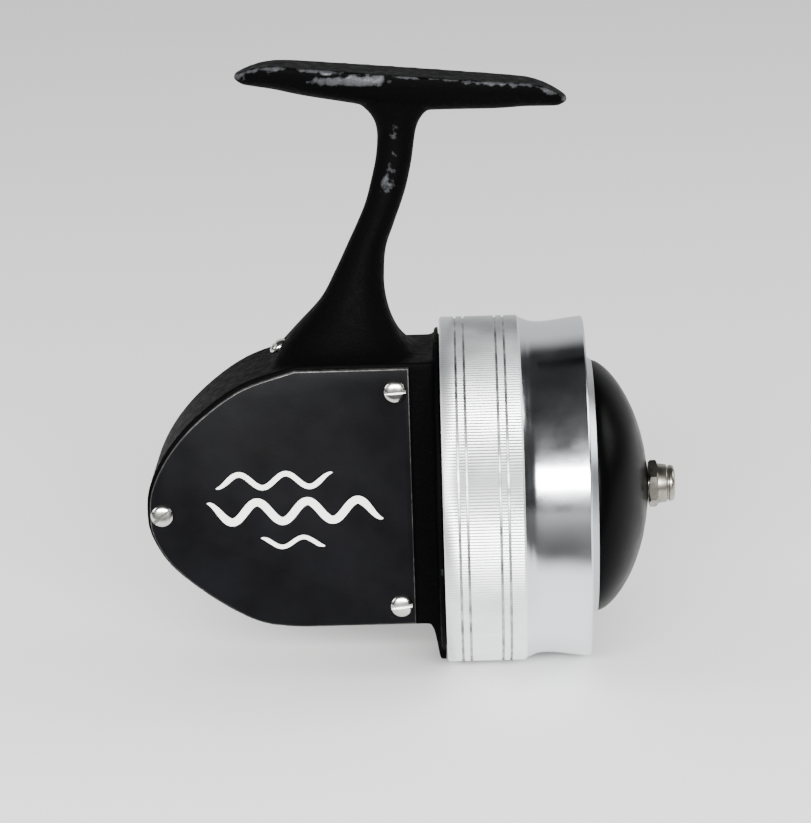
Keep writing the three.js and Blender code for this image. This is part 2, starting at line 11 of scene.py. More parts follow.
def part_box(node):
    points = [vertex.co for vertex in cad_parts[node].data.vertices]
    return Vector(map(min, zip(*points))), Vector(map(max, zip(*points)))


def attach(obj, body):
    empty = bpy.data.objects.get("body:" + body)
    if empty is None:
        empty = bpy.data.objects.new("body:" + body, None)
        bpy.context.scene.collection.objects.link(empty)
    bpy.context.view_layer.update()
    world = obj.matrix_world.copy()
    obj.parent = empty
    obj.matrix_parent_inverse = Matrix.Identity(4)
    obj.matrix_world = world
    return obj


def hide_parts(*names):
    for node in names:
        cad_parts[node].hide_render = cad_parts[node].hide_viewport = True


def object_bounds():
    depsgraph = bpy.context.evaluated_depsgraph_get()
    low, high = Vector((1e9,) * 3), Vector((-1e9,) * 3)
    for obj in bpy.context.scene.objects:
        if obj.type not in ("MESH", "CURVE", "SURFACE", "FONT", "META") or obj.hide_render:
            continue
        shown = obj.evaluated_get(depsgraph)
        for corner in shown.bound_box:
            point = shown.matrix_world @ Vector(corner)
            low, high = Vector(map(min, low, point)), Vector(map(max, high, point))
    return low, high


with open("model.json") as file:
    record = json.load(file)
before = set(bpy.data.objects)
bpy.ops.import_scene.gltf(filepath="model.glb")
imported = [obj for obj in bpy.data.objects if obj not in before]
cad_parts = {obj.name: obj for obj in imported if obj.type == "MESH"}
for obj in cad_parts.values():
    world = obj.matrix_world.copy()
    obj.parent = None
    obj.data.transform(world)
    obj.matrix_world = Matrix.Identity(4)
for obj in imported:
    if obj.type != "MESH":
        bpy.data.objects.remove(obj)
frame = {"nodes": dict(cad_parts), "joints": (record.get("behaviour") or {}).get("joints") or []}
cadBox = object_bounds()
print("frame loaded,", len(frame["nodes"]), "nodes")

# Pieces are drawn in millimetres from the spool axis at the cover's rear edge, then moved home.
mm = 0.001
coverLow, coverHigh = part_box("front_cover")
home = Vector((coverLow.x, (coverLow.y + coverHigh.y) / 2, (coverLow.z + coverHigh.z) / 2))
toFrame = Matrix.Translation(home) @ Matrix.Scale(mm, 4)
joints = {joint["name"]: joint for joint in frame["joints"]}


def drawnBox(node):
    low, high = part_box(node)
    return (low - home) / mm, (high - home) / mm


def jointPlace(name):
    return (Vector(joints[name]["pos_m"]) - home) / mm


# ---- materials ----


def linear(hexColour):
    parts = [int(hexColour[i:i + 2], 16) / 255 for i in (1, 3, 5)]
    return tuple(c / 12.92 if c <= 0.04045 else ((c + 0.055) / 1.055) ** 2.4 for c in parts) + (1,)


def add(tree, kind, settings=None, inputs=None):
    node = tree.nodes.new(kind)
    for key, value in (settings or {}).items():
        setattr(node, key, value)
    for key, value in (inputs or {}).items():
        if isinstance(value, bpy.types.NodeSocket):
            tree.links.new(value, node.inputs[key])
        else:
            node.inputs[key].default_value = value
    return node


def newMaterial(name, colour, metallic, roughness, **sockets):
    material = bpy.data.materials.new(name)
    material.use_nodes = True
    tree = material.node_tree
    shader = tree.nodes["Principled BSDF"]
    shader.inputs["Base Color"].default_value = linear(colour)
    shader.inputs["Metallic"].default_value = metallic
    shader.inputs["Roughness"].default_value = roughness
    for key, value in sockets.items():
        shader.inputs[key.replace("_", " ")].default_value = value
    place = add(tree, "ShaderNodeTexCoord").outputs["Object"]
    return material, tree, shader, place


def blend(tree, factor, first, second):
    # a colour between two colours
    mix = add(tree, "ShaderNodeMix", {"data_type": "RGBA"}, {0: factor, 6: linear(first), 7: linear(second)})
    return mix.outputs[2]


def mottle(tree, place, size, low, high, detail=3.0):
    # noise of a grain size in millimetres, brought between two values
    noise = add(tree, "ShaderNodeTexNoise", inputs={
        "Vector": place, "Scale": 1 / (size * mm), "Detail": detail})
    span = {"From Min": 0.3, "From Max": 0.7, "To Min": low, "To Max": high, "Value": noise.outputs["Fac"]}
    return add(tree, "ShaderNodeMapRange", inputs=span).outputs["Result"]


def crackleEnamel():
    # stoved wrinkle enamel on a die casting: deep black with a fine crackle that breaks up every highlight,
    # abraded through to dull grey metal where hands and the rod seat touch the edges; the same grey along the
    # foot's near edge and crown and the stem's near side is partly a painted highlight
    material, tree, shader, place = newMaterial("crackle enamel", "#040404", 0.0, 0.4)
    crackle = add(tree, "ShaderNodeTexNoise", inputs={
        "Vector": place, "Scale": 1 / (0.75 * mm), "Detail": 3.0, "Roughness": 0.55, "Distortion": 1.2})
    ridges = add(tree, "ShaderNodeMapRange", inputs={
        "Value": crackle.outputs["Fac"], "From Min": 0.35, "From Max": 0.62})
    wornAndSheen = add(tree, "ShaderNodeAttribute", {"attribute_name": "wearAndSheen"}).outputs["Fac"]
    patches = mottle(tree, place, 7, -0.22, 0.3, 2.0)
    flakes = mottle(tree, place, 1.1, -0.16, 0.16, 6.0)
    spread = add(tree, "ShaderNodeMath", {"operation": "ADD"}, {0: patches, 1: flakes})
    rubbedAndSheen = add(tree, "ShaderNodeMath", {"operation": "MULTIPLY_ADD"}, {
        0: wornAndSheen, 1: 1.0, 2: spread.outputs["Value"]})
    # lighter metal grey where the mask is high: abraded enamel, partly a painted highlight on the foot and stem
    lightened = add(tree, "ShaderNodeMapRange", inputs={
        "Value": rubbedAndSheen.outputs["Value"], "From Min": 0.56, "From Max": 0.94})
    colour = blend(tree, lightened.outputs["Result"], "#040404", "#4e4f52")
    metal = add(tree, "ShaderNodeMath", {"operation": "MULTIPLY"}, {0: lightened.outputs["Result"], 1: 0.8})
    bump = add(tree, "ShaderNodeBump", inputs={
        "Height": ridges.outputs["Result"], "Strength": 0.6, "Distance": 0.06 * mm})
    shader.inputs["Specular IOR Level"].default_value = 0.01
    tree.links.new(colour, shader.inputs["Base Color"])
    tree.links.new(metal.outputs["Value"], shader.inputs["Metallic"])
    tree.links.new(mottle(tree, place, 1.4, 0.4, 0.58), shader.inputs["Roughness"])
    tree.links.new(bump.outputs["Normal"], shader.inputs["Normal"])
    return material


def satinPaint():
    # brushed-on satin black over a stamped plate: nearly flat, with a faint orange peel
    material, tree, shader, place = newMaterial("satin black paint", "#0a0a0c", 0.0, 0.42)
    peel = add(tree, "ShaderNodeTexNoise", inputs={"Vector": place, "Scale": 1 / (0.4 * mm), "Detail": 3.0})
    bump = add(tree, "ShaderNodeBump", inputs={
        "Height": peel.outputs["Fac"], "Strength": 0.5, "Distance": 0.03 * mm})
    shader.inputs["Specular IOR Level"].default_value = 0.05
    tree.links.new(blend(tree, mottle(tree, place, 9, 0.0, 1.0, 5.0), "#050506", "#0b0b0e"),
                   shader.inputs["Base Color"])
    tree.links.new(mottle(tree, place, 6, 0.36, 0.5), shader.inputs["Roughness"])
    tree.links.new(bump.outputs["Normal"], shader.inputs["Normal"])
    return material


def rubbedEdge():
    # the plate's cut edge, where the paint has thinned and chipped back to steel
    material, tree, shader, place = newMaterial("chipped plate edge", "#0c0c0d", 0.0, 0.45)
    chips = add(tree, "ShaderNodeMath", {"operation": "ADD"}, {
        0: mottle(tree, place, 5, -0.1, 0.7, 3.0), 1: mottle(tree, place, 0.9, -0.3, 0.3, 5.0)})
    lightened = add(tree, "ShaderNodeMapRange", inputs={
        "Value": chips.outputs["Value"], "From Min": 0.3, "From Max": 0.95})
    tree.links.new(blend(tree, lightened.outputs["Result"], "#0c0c0d", "#5f5d5b"), shader.inputs["Base Color"])
    tree.links.new(lightened.outputs["Result"], shader.inputs["Metallic"])
    return material


def turnedAluminium(name, colour, roughness, lineWidth, depth, spread=0.06, darkInHollows=None):
    # lathe-turned aluminium: fine tool lines run round the spool axis and drag the highlights out;
    # where it's knurled or grooved, the bottoms are coloured darker
    material, tree, shader, place = newMaterial(name, colour, 1.0, roughness)
    apart = add(tree, "ShaderNodeSeparateXYZ", inputs={"Vector": add(tree, "ShaderNodeMapping", inputs={
        "Vector": place, "Location": tuple(-home)}).outputs["Vector"]})
    flat = add(tree, "ShaderNodeCombineXYZ", inputs={"Y": apart.outputs["Y"], "Z": apart.outputs["Z"]})
    out = add(tree, "ShaderNodeVectorMath", {"operation": "LENGTH"}, {0: flat.outputs["Vector"]})
    across = add(tree, "ShaderNodeMath", {"operation": "ADD"}, {
        0: apart.outputs["X"], 1: out.outputs["Value"]})
    lines = add(tree, "ShaderNodeTexNoise", {"noise_dimensions": "1D"}, {
        "W": across.outputs["Value"], "Scale": 1 / (lineWidth * mm), "Detail": 4.0, "Roughness": 0.7})
    bump = add(tree, "ShaderNodeBump", inputs={
        "Height": lines.outputs["Fac"], "Strength": 0.35, "Distance": depth * mm})
    smudge = mottle(tree, place, 7, roughness - spread / 2, roughness + spread, 4.0)
    tree.links.new(smudge, shader.inputs["Roughness"])
    tree.links.new(bump.outputs["Normal"], shader.inputs["Normal"])
    if darkInHollows:
        hollowMask = add(tree, "ShaderNodeAttribute", {"attribute_name": "darkInHollows"}).outputs["Fac"]
        uneven = add(tree, "ShaderNodeMath", {"operation": "MULTIPLY"}, {
            0: hollowMask, 1: mottle(tree, place, 3, 0.35, 0.85, 5.0)})
        tree.links.new(blend(tree, uneven.outputs["Value"], colour, darkInHollows), shader.inputs["Base Color"])
    return material


def plainMetal(name, colour, roughness, grain=1.5, spread=0.12, tarnish=None):
    # small turned or stamped fittings: even metal with handling marks in the gloss
    material, tree, shader, place = newMaterial(name, colour, 1.0, roughness)
    tree.links.new(mottle(tree, place, grain, roughness, roughness + spread, 5.0), shader.inputs["Roughness"])
    if tarnish:
        dull = blend(tree, mottle(tree, place, grain * 2, 0.0, 0.8, 6.0), colour, tarnish)
        tree.links.new(dull, shader.inputs["Base Color"])
    return material


def domeEnamel():
    # smooth black enamel sprayed on a spun dome: soft gloss with faint rubbing marks
    material, tree, shader, place = newMaterial("smooth black enamel", "#030303", 0.0, 0.3)
    shader.inputs["Specular IOR Level"].default_value = 0.035
    tree.links.new(mottle(tree, place, 5, 0.26, 0.36, 6.0), shader.inputs["Roughness"])
    peel = add(tree, "ShaderNodeTexNoise", inputs={"Vector": place, "Scale": 1 / (1.2 * mm), "Detail": 1.0})
    bump = add(tree, "ShaderNodeBump", inputs={
        "Height": peel.outputs["Fac"], "Strength": 0.2, "Distance": 0.01 * mm})
    tree.links.new(bump.outputs["Normal"], shader.inputs["Normal"])
    return material


def amberPlastic():
    # cast cellulose acetate: honey-coloured and see-through, with a polished skin
    material, tree, shader, place = newMaterial(
        "amber acetate", "#c9741a", 0.0, 0.14, IOR=1.49, Transmission_Weight=0.75)
    swirl = mottle(tree, place, 6, 0.0, 1.0, 3.0)
    colour = blend(tree, swirl, "#d98a2b", "#a8560f")
    tree.links.new(colour, shader.inputs["Base Color"])
    return material


def plainSurface(name, colour, other, roughness, grain, depth):
    # non-metal small parts: an uneven colour and a fine tooth
    material, tree, shader, place = newMaterial(name, colour, 0.0, roughness)
    shade = blend(tree, mottle(tree, place, grain, 0.0, 1.0, 5.0), colour, other)
    tooth = add(tree, "ShaderNodeTexNoise", inputs={
        "Vector": place, "Scale": 1 / (grain * mm), "Detail": 4.0})
    bump = add(tree, "ShaderNodeBump", inputs={
        "Height": tooth.outputs["Fac"], "Strength": 0.4, "Distance": depth * mm})
    tree.links.new(shade, shader.inputs["Base Color"])
    tree.links.new(bump.outputs["Normal"], shader.inputs["Normal"])
    return material


looks = {
    "casting": crackleEnamel(),
    "plate": satinPaint(),
    "plateEdge": rubbedEdge(),
    "knurl": turnedAluminium("knurled aluminium", "#fcfdff", 0.46, 0.4, 0.01, darkInHollows="#161618"),
    "band": turnedAluminium("polished aluminium", "#e0e2e6", 0.15, 0.22, 0.005),
    "face": turnedAluminium("faced aluminium", "#c4c6ca", 0.3, 0.3, 0.01),
    "dome": domeEnamel(),
    "nickel": plainMetal("nickel plate", "#b3b0a6", 0.24, tarnish="#6f6b62"),
    "screw": plainMetal("bright nickel screw", "#d0cfca", 0.16),
    "amber": amberPlastic(),
    "brass": plainMetal("machined brass", "#c09a52", 0.28, tarnish="#94733a"),
    "steel": plainMetal("ground steel", "#9a9da1", 0.3),
    "spoolMetal": turnedAluminium("satin aluminium", "#c3c5c9", 0.32, 0.35, 0.01),
    "fibre": plainSurface("vulcanised fibre", "#6d2a1d", "#54201a", 0.7, 0.6, 0.03),
    "line": plainSurface("nylon line", "#c9cdb8", "#b4b9a0", 0.35, 0.9, 0.01),
    "white": plainSurface("white screen ink", "#e9e9e6", "#dcdcd8", 0.5, 0.5, 0.005),
}
print("materials made,", len(looks))

# ---- shaping ----


def rounded(profile, segments=4):
    # corners given as (along, out, fillet) become arcs
    count = len(profile)
    points = []
    for i, corner in enumerate(profile):
        here = Vector(corner[:2])
        if len(corner) < 3:
            points.append(here)
            continue
        before = Vector(profile[i - 1][:2]) - here
        after = Vector(profile[(i + 1) % count][:2]) - here
        reach = min(corner[2], before.length * 0.49, after.length * 0.49)
        start = here + before.normalized() * reach
        end = here + after.normalized() * reach
        points += interpolate_bezier(start, start.lerp(here, 0.55), end.lerp(here, 0.55), end, segments + 1)
    return points


def turned(profile, steps=96, axis="X", at=(0, 0), closed=True):
    # spun from (along, radius) points; a profile that meets the axis at both ends isn't closed
    bm = bmesh.new()
    points = rounded(profile)
    if axis == "X":
        spots = [(p[0], at[0], at[1] + p[1]) for p in points]
        direction, centre = (1, 0, 0), (0, at[0], at[1])
    else:
        spots = [(at[0] + p[1], p[0], at[1]) for p in points]
        direction, centre = (0, 1, 0), (at[0], 0, at[1])
    verts = [bm.verts.new(spot) for spot in spots]
    edges = [bm.edges.new(pair) for pair in zip(verts, verts[1:])]
    if closed:
        edges.append(bm.edges.new((verts[-1], verts[0])))
    bmesh.ops.spin(bm, geom=verts + edges, cent=centre, axis=direction, angle=math.tau, steps=steps,
                   use_merge=True)
    bmesh.ops.remove_doubles(bm, verts=bm.verts, dist=1e-4)
    bmesh.ops.recalc_face_normals(bm, faces=bm.faces)
    return bm


def sharpEdges(bm, degrees=35):
    return [e for e in bm.edges if len(e.link_faces) == 2 and e.calc_face_angle() > math.radians(degrees)]


def bevelled(bm, edges, width, segments=3):
    bmesh.ops.bevel(bm, geom=edges, offset=width, offset_type="OFFSET", segments=segments, profile=0.5,
                    affect="EDGES", clamp_overlap=True, material=-1)


def slab(outline, y0, y1, axis="Y"):
    # an outline given thickness: in X and Z along Y, or in Y and Z along X
    bm = bmesh.new()
    spots = [(a, y0, b) if axis == "Y" else (y0, a, b) for a, b in outline]
    base = bm.faces.new([bm.verts.new(spot) for spot in spots])
    made = bmesh.ops.extrude_face_region(bm, geom=[base])["geom"]
    shift = (0, y1 - y0, 0) if axis == "Y" else (y1 - y0, 0, 0)
    bmesh.ops.translate(bm, vec=shift, verts=[v for v in made if isinstance(v, bmesh.types.BMVert)])
    bmesh.ops.recalc_face_normals(bm, faces=bm.faces)
    return bm


def block(low, high):
    bm = bmesh.new()
    low, high = Vector(low), Vector(high)
    size = Matrix.Diagonal((*(high - low), 1))
    bmesh.ops.create_cube(bm, size=1, matrix=Matrix.Translation((low + high) / 2) @ size)
    return bm


def meshOf(bm, name):
    mesh = bpy.data.meshes.new(name)
    bm.to_mesh(mesh)
    bm.free()
    return mesh


def looseObject(bm, name="tool"):
    shape = bpy.data.objects.new(name, meshOf(bm, name))
    bpy.context.scene.collection.objects.link(shape)
    return shape


def applied(shape):
    # the shape with its modifiers made real
    deps = bpy.context.evaluated_depsgraph_get()
    mesh = bpy.data.meshes.new_from_object(shape.evaluated_get(deps))
    mesh.materials.clear()
    shape.modifiers.clear()
    shape.data = mesh
    return shape


def combined(shape, tools, operation):
    for bm in tools:
        tool = looseObject(bm)
        change = shape.modifiers.new("combine", "BOOLEAN")
        change.solver = "MANIFOLD"
        change.operation = operation
        change.object = tool
        applied(shape)
        bpy.data.objects.remove(tool)
    return shape


def merged(shapes):
    whole = bmesh.new()
    for bm in shapes:
        whole.from_mesh(meshOf(bm, "part"))
    return whole


def finished(shape, name, body, materials, stands=(), angle=32):
    # names a shape drawn in millimetres, moves its mesh home and lets it ride
    if isinstance(shape, bmesh.types.BMesh):
        shape = looseObject(shape)
    shape.name = name
    shape.data.name = name
    shape.data.transform(toFrame)
    for material in materials:
        shape.data.materials.append(material)
    shape.data.shade_smooth()
    shape.data.set_sharp_from_angle(angle=math.radians(angle))
    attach(shape, body)
    if stands:
        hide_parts(*stands)
    return shape


def curveThrough(points, perSpan):
    # a smooth curve through the points, as evenly bent as its neighbours allow
    spots = [Vector(p) for p in points]
    ends = [2 * spots[0] - spots[1], *spots, 2 * spots[-1] - spots[-2]]
    curve = []
    for before, a, b, after in zip(ends, ends[1:], ends[2:], ends[3:]):
        span = interpolate_bezier(a, a + (b - before) / 6, b - (after - a) / 6, b, perSpan + 1)
        curve += span[:-1]
    return curve + [spots[-1]]


def along(pairs, spot):
    # a value at a spot along (spot, value) pairs, on a smooth curve
    curve = curveThrough([(p, v) for p, v in pairs], 8)
    return float(np.interp(spot, [c[0] for c in curve], [c[1] for c in curve]))


# ---- casting: gear case, flange, stem and foot ----
case = {
    "openY": -12.8, "closedY": 14.0, "top": 27.1, "bottom": -22.3, "rim": 0.7, "wall": 2.2,
    "rear": [(-27, 27.1), (-36.8, 23.9), (-44.7, 18.5), (-50.6, 12.2), (-54.2, 5.6), (-55, 0.4),
             (-54.3, -4.2), (-51.2, -9.6), (-45.6, -14.7), (-39.1, -19.1), (-33.6, -21.5), (-27, -22.3)],
    "middle": (-27, 2.4), "frontX": -1.2, "cavityX": -6.6, "edge": 2.6, "voxel": 0.42, "smoothing": 7,
}
stem = {
    "back": [(20, -34), (27, -31.5), (32, -27.6), (37.7, -22.3), (42.8, -19.4), (48.7, -16.5), (52.4, -14.7),
             (56.1, -13.1), (60.3, -11.9), (64.6, -10.9), (69.3, -10.5), (72.2, -11.3), (74.5, -13.4),
             (76.5, -16.4)],
    "front": [(20, -3.4), (27.1, -3.8), (28.4, -5.2), (30, -6.6), (32, -7.9), (35, -9.1), (38.8, -9.9),
              (42.5, -10), (47.4, -9.5), (51.6, -8), (58.1, -5.6), (63.8, -4.2), (69.3, -3.3), (71.9, -2.2),
              (74.2, 0.2), (76.5, 3.2)],
    "halfWidth": [(20, 12.7), (27.1, 12.4), (29, 10.6), (32, 8.8), (38, 6.4), (46, 5), (56, 4.1), (65, 3.5),
                  (68.5, 3.5), (72, 3.9), (75, 4.5), (76.5, 4.8)],
    "squareness": [(20, 0.45), (27.1, 0.5), (31, 0.7), (38, 0.9), (48, 1), (76.5, 1)],
    "low": 20, "high": 76.5, "rings": 56, "sides": 56,
}
foot = {
    "length": 62, "width": 12.7, "pitch": 5.5, "seat": (-5.6, 0, 80.5), "flat": 22, "droop": 2.6, "edge": 0.9,
    "depth": [(0, 7.4), (10, 6.4), (18.7, 5.6), (25, 4.5), (29, 2.9), (31, 1.3)], "rings": 64, "sides": 48,
}


flangeSize = {
    "back": -1.1, "front": 0.3, "radius": 31,
    "flare": [(-7, 0), (-7, 22), (-5.5, 23.2), (-3.6, 24.6), (-2.4, 27), (-1.8, 30), (-1.4, 32.4)],
}
bossProfile = [(12, 0), (12, 7.6), (14, 7.6), (14.6, 7, 0.6), (16.5, 7, 0.5), (16.5, 0)]
# where the casting turns lighter grey: abraded edges and grip, plus a painted highlight on the foot's near edge
# and crown and the stem's near side
rubbedAndSheen = {
    "footAbove": 70, "footEdge": 0.56, "footCrown": 0.24, "plateSide": -11, "plateEdge": 0.3, "farEdge": 0.2,
    "grip": (-15, 79.8), "gripSpread": (9, 1.4), "stem": (65, 9), "stemDepth": 2.95, "stemMost": 0.68,
}
crankAt = jointPlace("crank_turn")
crankSpot = (crankAt.x, crankAt.z)


def caseOutline(grow, frontX):
    middle = Vector(case["middle"])
    rear = []
    for x, z in curveThrough(case["rear"], 5):
        out = Vector((x, z)) - middle
        rear.append(middle + out * (1 + grow / out.length))
    return [(frontX, case["top"] + grow), *[tuple(p) for p in rear], (frontX, case["bottom"] - grow)]


def ringed(stations, sides, place):
    # closed rings set by place(station, angle), bridged one to the next
    bm = bmesh.new()
    loops = []
    for i, station in enumerate(stations):
        cap = i in (0, len(stations) - 1)
        ring = bmesh.ops.create_circle(bm, cap_ends=cap, radius=1, segments=sides)["verts"]
        for vert in ring:
            vert.co = place(station, math.atan2(vert.co.y, vert.co.x))
        loops.append({e for v in ring for e in v.link_edges if e.other_vert(v) in ring})
    for first, second in zip(loops, loops[1:]):
        bmesh.ops.bridge_loops(bm, edges=list(first | second))
    bmesh.ops.recalc_face_normals(bm, faces=bm.faces)
    return bm


def stemPlace(z, angle):
    # squarish where the stem grows out of the case, elliptical above
    def bulged(share):
        return math.copysign(abs(share) ** along(stem["squareness"], z), share)

    back, front = along(stem["back"], z), along(stem["front"], z)
    x = (back + front) / 2 + (front - back) / 2 * bulged(math.cos(angle))
    return Vector((x, along(stem["halfWidth"], z) * bulged(math.sin(angle)), z))


def footPlace(s, angle):
    half = foot["length"] / 2
    away = abs(s)
    width = foot["width"] / 2 * math.sqrt(1 - (away / (half + 0.5)) ** 4)
    thick = along(foot["depth"], away)
    droop = foot["droop"] * max(0, (away - foot["flat"]) / (half - foot["flat"])) ** 2
    under = -math.sin(angle)
    drop = 0 if under <= 0 else min(foot["edge"], thick / 3) + (thick - foot["edge"]) * under
    place = Vector((s, width * math.cos(angle), -droop - max(0, drop)))
    return Matrix.Rotation(math.radians(foot["pitch"]), 3, "Y") @ place + Vector(foot["seat"])


def convexity(mesh, passes, morePasses):
    # how far each vertex stands out from its neighbours, in mm, smoothed a little and a lot
    spots = np.empty(len(mesh.vertices) * 3)
    mesh.vertices.foreach_get("co", spots)
    spots = spots.reshape(-1, 3)
    normals = np.array([v.normal for v in mesh.vertices])
    ends = np.empty(len(mesh.edges) * 2, int)
    mesh.edges.foreach_get("vertices", ends)
    a, b = ends.reshape(-1, 2).T
    count = np.bincount(ends, minlength=len(spots))

    def neighbourMean(values):
        total = np.zeros_like(values)
        np.add.at(total, a, values[b])
        np.add.at(total, b, values[a])
        return total / count.reshape([-1] + [1] * (values.ndim - 1)).clip(1)

    out = np.einsum("ij,ij->i", normals, spots - neighbourMean(spots))
    for _ in range(passes):
        out = (out + neighbourMean(out)) / 2
    broad = out
    for _ in range(morePasses):
        broad = (broad + neighbourMean(broad)) / 2
    return spots, out, broad


def castBody():
    # case, flange, crank boss, stem and foot under one skin, every junction rounded
    body = slab(caseOutline(case["rim"], case["frontX"]), case["openY"], case["closedY"])
    farEdges = [e for e in sharpEdges(body) if all(v.co.y > 0 for v in e.verts)]
    bevelled(body, farEdges, case["edge"], 5)
    back, front, radius = flangeSize["back"], flangeSize["front"], flangeSize["radius"]
    flange = turned([(back, 0), (back, radius), (front, radius), (front, 0)], 160, closed=False)
    spread = flangeSize["flare"]
    flare = turned([*spread, (front, spread[-1][1]), (front, 0)], 96, closed=False)
    belowCase = block((-10, case["openY"], -40), (1, case["closedY"], -10))
    flareObject = combined(looseObject(flare), [belowCase], "INTERSECT")
    under = bmesh.new()
    under.from_mesh(flareObject.data)
    bpy.data.objects.remove(flareObject)
    boss = turned(bossProfile, 64, "Y", crankSpot, closed=False)
    stalk = ringed(np.linspace(stem["low"], stem["high"], stem["rings"]), stem["sides"], stemPlace)
    steps = foot["length"] / 2 * np.sin(np.linspace(-math.pi / 2, math.pi / 2, foot["rings"]))
    seat = ringed(steps, foot["sides"], footPlace)
    shape = looseObject(merged([body, flange, under, boss, stalk, seat]))
    remesh = shape.modifiers.new("cast", "REMESH")
    remesh.mode = "VOXEL"
    remesh.voxel_size = case["voxel"]
    soften = shape.modifiers.new("soften", "SMOOTH")
    soften.factor = 0.5
    soften.iterations = case["smoothing"]
    return applied(shape)


def markWearAndSheen(shape):
    # where the enamel is abraded off: sharp edges, the foot's near edge and the stem's near side; on the foot's
    # edge and crown and the stem's near side it is partly a painted highlight
    spots, out, broad = convexity(shape.data, 2, 14)
    x, y, z = spots.T
    onFoot = z > rubbedAndSheen["footAbove"]
    onCase = np.where(y < rubbedAndSheen["plateSide"], rubbedAndSheen["plateEdge"], rubbedAndSheen["farEdge"])
    edges = np.clip(out / 0.05, 0, 1) * np.where(onFoot, rubbedAndSheen["footEdge"], onCase)
    edges += np.where(onFoot, np.clip(broad / 0.02, 0, 1) * rubbedAndSheen["footCrown"], 0)
    gripX, gripZ = rubbedAndSheen["grip"]
    gripLength, gripHeight = rubbedAndSheen["gripSpread"]
    gripped = np.exp(-((x - gripX) / gripLength) ** 2 - ((z - gripZ) / gripHeight) ** 2) * (abs(y) > 4)
    # the stem's near-side streak is partly abraded metal, partly a painted highlight
    stemZ, stemSpread = rubbedAndSheen["stem"]
    stemWearAndSheen = np.exp(-((z - stemZ) / stemSpread) ** 2)
    stemWearAndSheen *= np.clip((-y - rubbedAndSheen["stemDepth"]) * 1.7, 0, 1) * rubbedAndSheen["stemMost"]
    wearAndSheen = np.where((x > -0.2) & ~onFoot, 0, np.maximum(np.maximum(edges, gripped), stemWearAndSheen))
    shape.data.attributes.new("wearAndSheen", "FLOAT", "POINT").data.foreach_set("value", wearAndSheen.astype(np.float32))


def makeCasting():
    shape = castBody()
    cavity = slab(caseOutline(-case["wall"], case["cavityX"]), case["openY"] - 2,
                  case["closedY"] - case["wall"])
    shaftBore = turned([(-7, 0), (-7, 4.5), (1, 4.5), (1, 0)], 48, closed=False)
    crankBore = turned([(4, 0), (4, 4.6), (20, 4.6), (20, 0)], 48, "Y", crankSpot, closed=False)
    frontFace = turned([(-0.3, 0), (-0.3, 40), (3, 40), (3, 0)], 96, closed=False)
    port, seat = oil["port"], oil["seat"]
    oilPort = oilTool([(-9, 0), (-9, port), (1, port), (1, 0)])
    oilSeat = oilTool([(-0.3, 0), (-0.3, seat), (5, seat), (5, 0)])
    combined(shape, [cavity, shaftBore, crankBore, frontFace, oilPort, oilSeat], "DIFFERENCE")
    combined(shape, [threadedCollar()], "UNION")
    markWearAndSheen(shape)
    finished(shape, "cast_housing", "frame", [looks["casting"]], ["housing"], 60)


collar = {"outer": 30.2, "inner": 28, "end": 7, "pitch": 1.27, "depth": 0.28, "samples": 34, "steps": 128}


def threadedCollar():
    # the ring that the cover screws on, with a cut thread round it
    outer = [(x, collar["outer"]) for x in np.linspace(0.8, collar["end"] - 0.6, collar["samples"])]
    profile = [(-0.8, collar["inner"]), (-0.8, collar["outer"] - 0.5), (0.4, collar["outer"] - 0.5), *outer,
               (collar["end"], collar["outer"] - 0.5), (collar["end"], collar["inner"])]
    bm = turned(profile, collar["steps"])
    for vert in bm.verts:
        out = math.hypot(vert.co.y, vert.co.z)
        if out < collar["outer"] - 0.1:
            continue
        turn = vert.co.x / collar["pitch"] + math.atan2(vert.co.z, vert.co.y) / math.tau
        shrink = 1 - collar["depth"] * (0.5 - 0.5 * math.cos(turn * math.tau)) / out
        vert.co.y *= shrink
        vert.co.z *= shrink
    return bm


oil = {"at": (-30.3, 0, 28.6), "tilt": 40, "port": 1.25, "seat": 2.3, "shank": 0.95, "slotWidth": 0.5}
oilTurn = Matrix.Translation(oil["at"]) @ Matrix.Rotation(math.radians(-oil["tilt"]), 4, "Y")


def oilTool(profile):
    # spun about the oil port's own axis, which leans back from upright
    bm = turned(profile, 40, closed=False)
    bm.transform(oilTurn @ Matrix.Rotation(-math.pi / 2, 4, "Y"))
    return bm


makeCasting()
print("casting made")


def makeOilScrew():
    head = [(0, 1.9, 0.2), (0.5, 1.85), (0.85, 1.6), (1.15, 1.1), (1.32, 0.5), (1.35, 0)]
    screw = looseObject(oilTool([(-5, 0), (-5, oil["shank"]), (0, oil["shank"]), *head]))
    slot = block((-oil["slotWidth"] / 2, -3, 0.8), (oil["slotWidth"] / 2, 3, 2))
    slot.transform(oilTurn)
    combined(screw, [slot], "DIFFERENCE")
    finished(screw, "oil_port_screw", "frame", [looks["screw"]], ["oil_screw"])


makeOilScrew()

# ---- side plate with its printed waves ----
plate = {
    "front": -5.8, "thick": 1.2, "gap": 0.3, "edge": 0.18,
    "waves": [  # middle x and z, length, height of the wave, how many, width of the stroke
        (-31.5, 6.4, 22, 1.3, 2.5, 1.0), (-27.8, 0.4, 33, 1.9, 3.5, 1.5), (-28.4, -5.6, 12, 0.9, 1.5, 0.8)],
    "ink": 0.06,
}
screwNodes = ["plate_screw_upper", "plate_screw_lower", "plate_screw_rear"]
screwSpots = {}
for node in screwNodes:
    low, high = drawnBox(node)
    screwSpots[node] = ((low.x + high.x) / 2, (low.z + high.z) / 2)


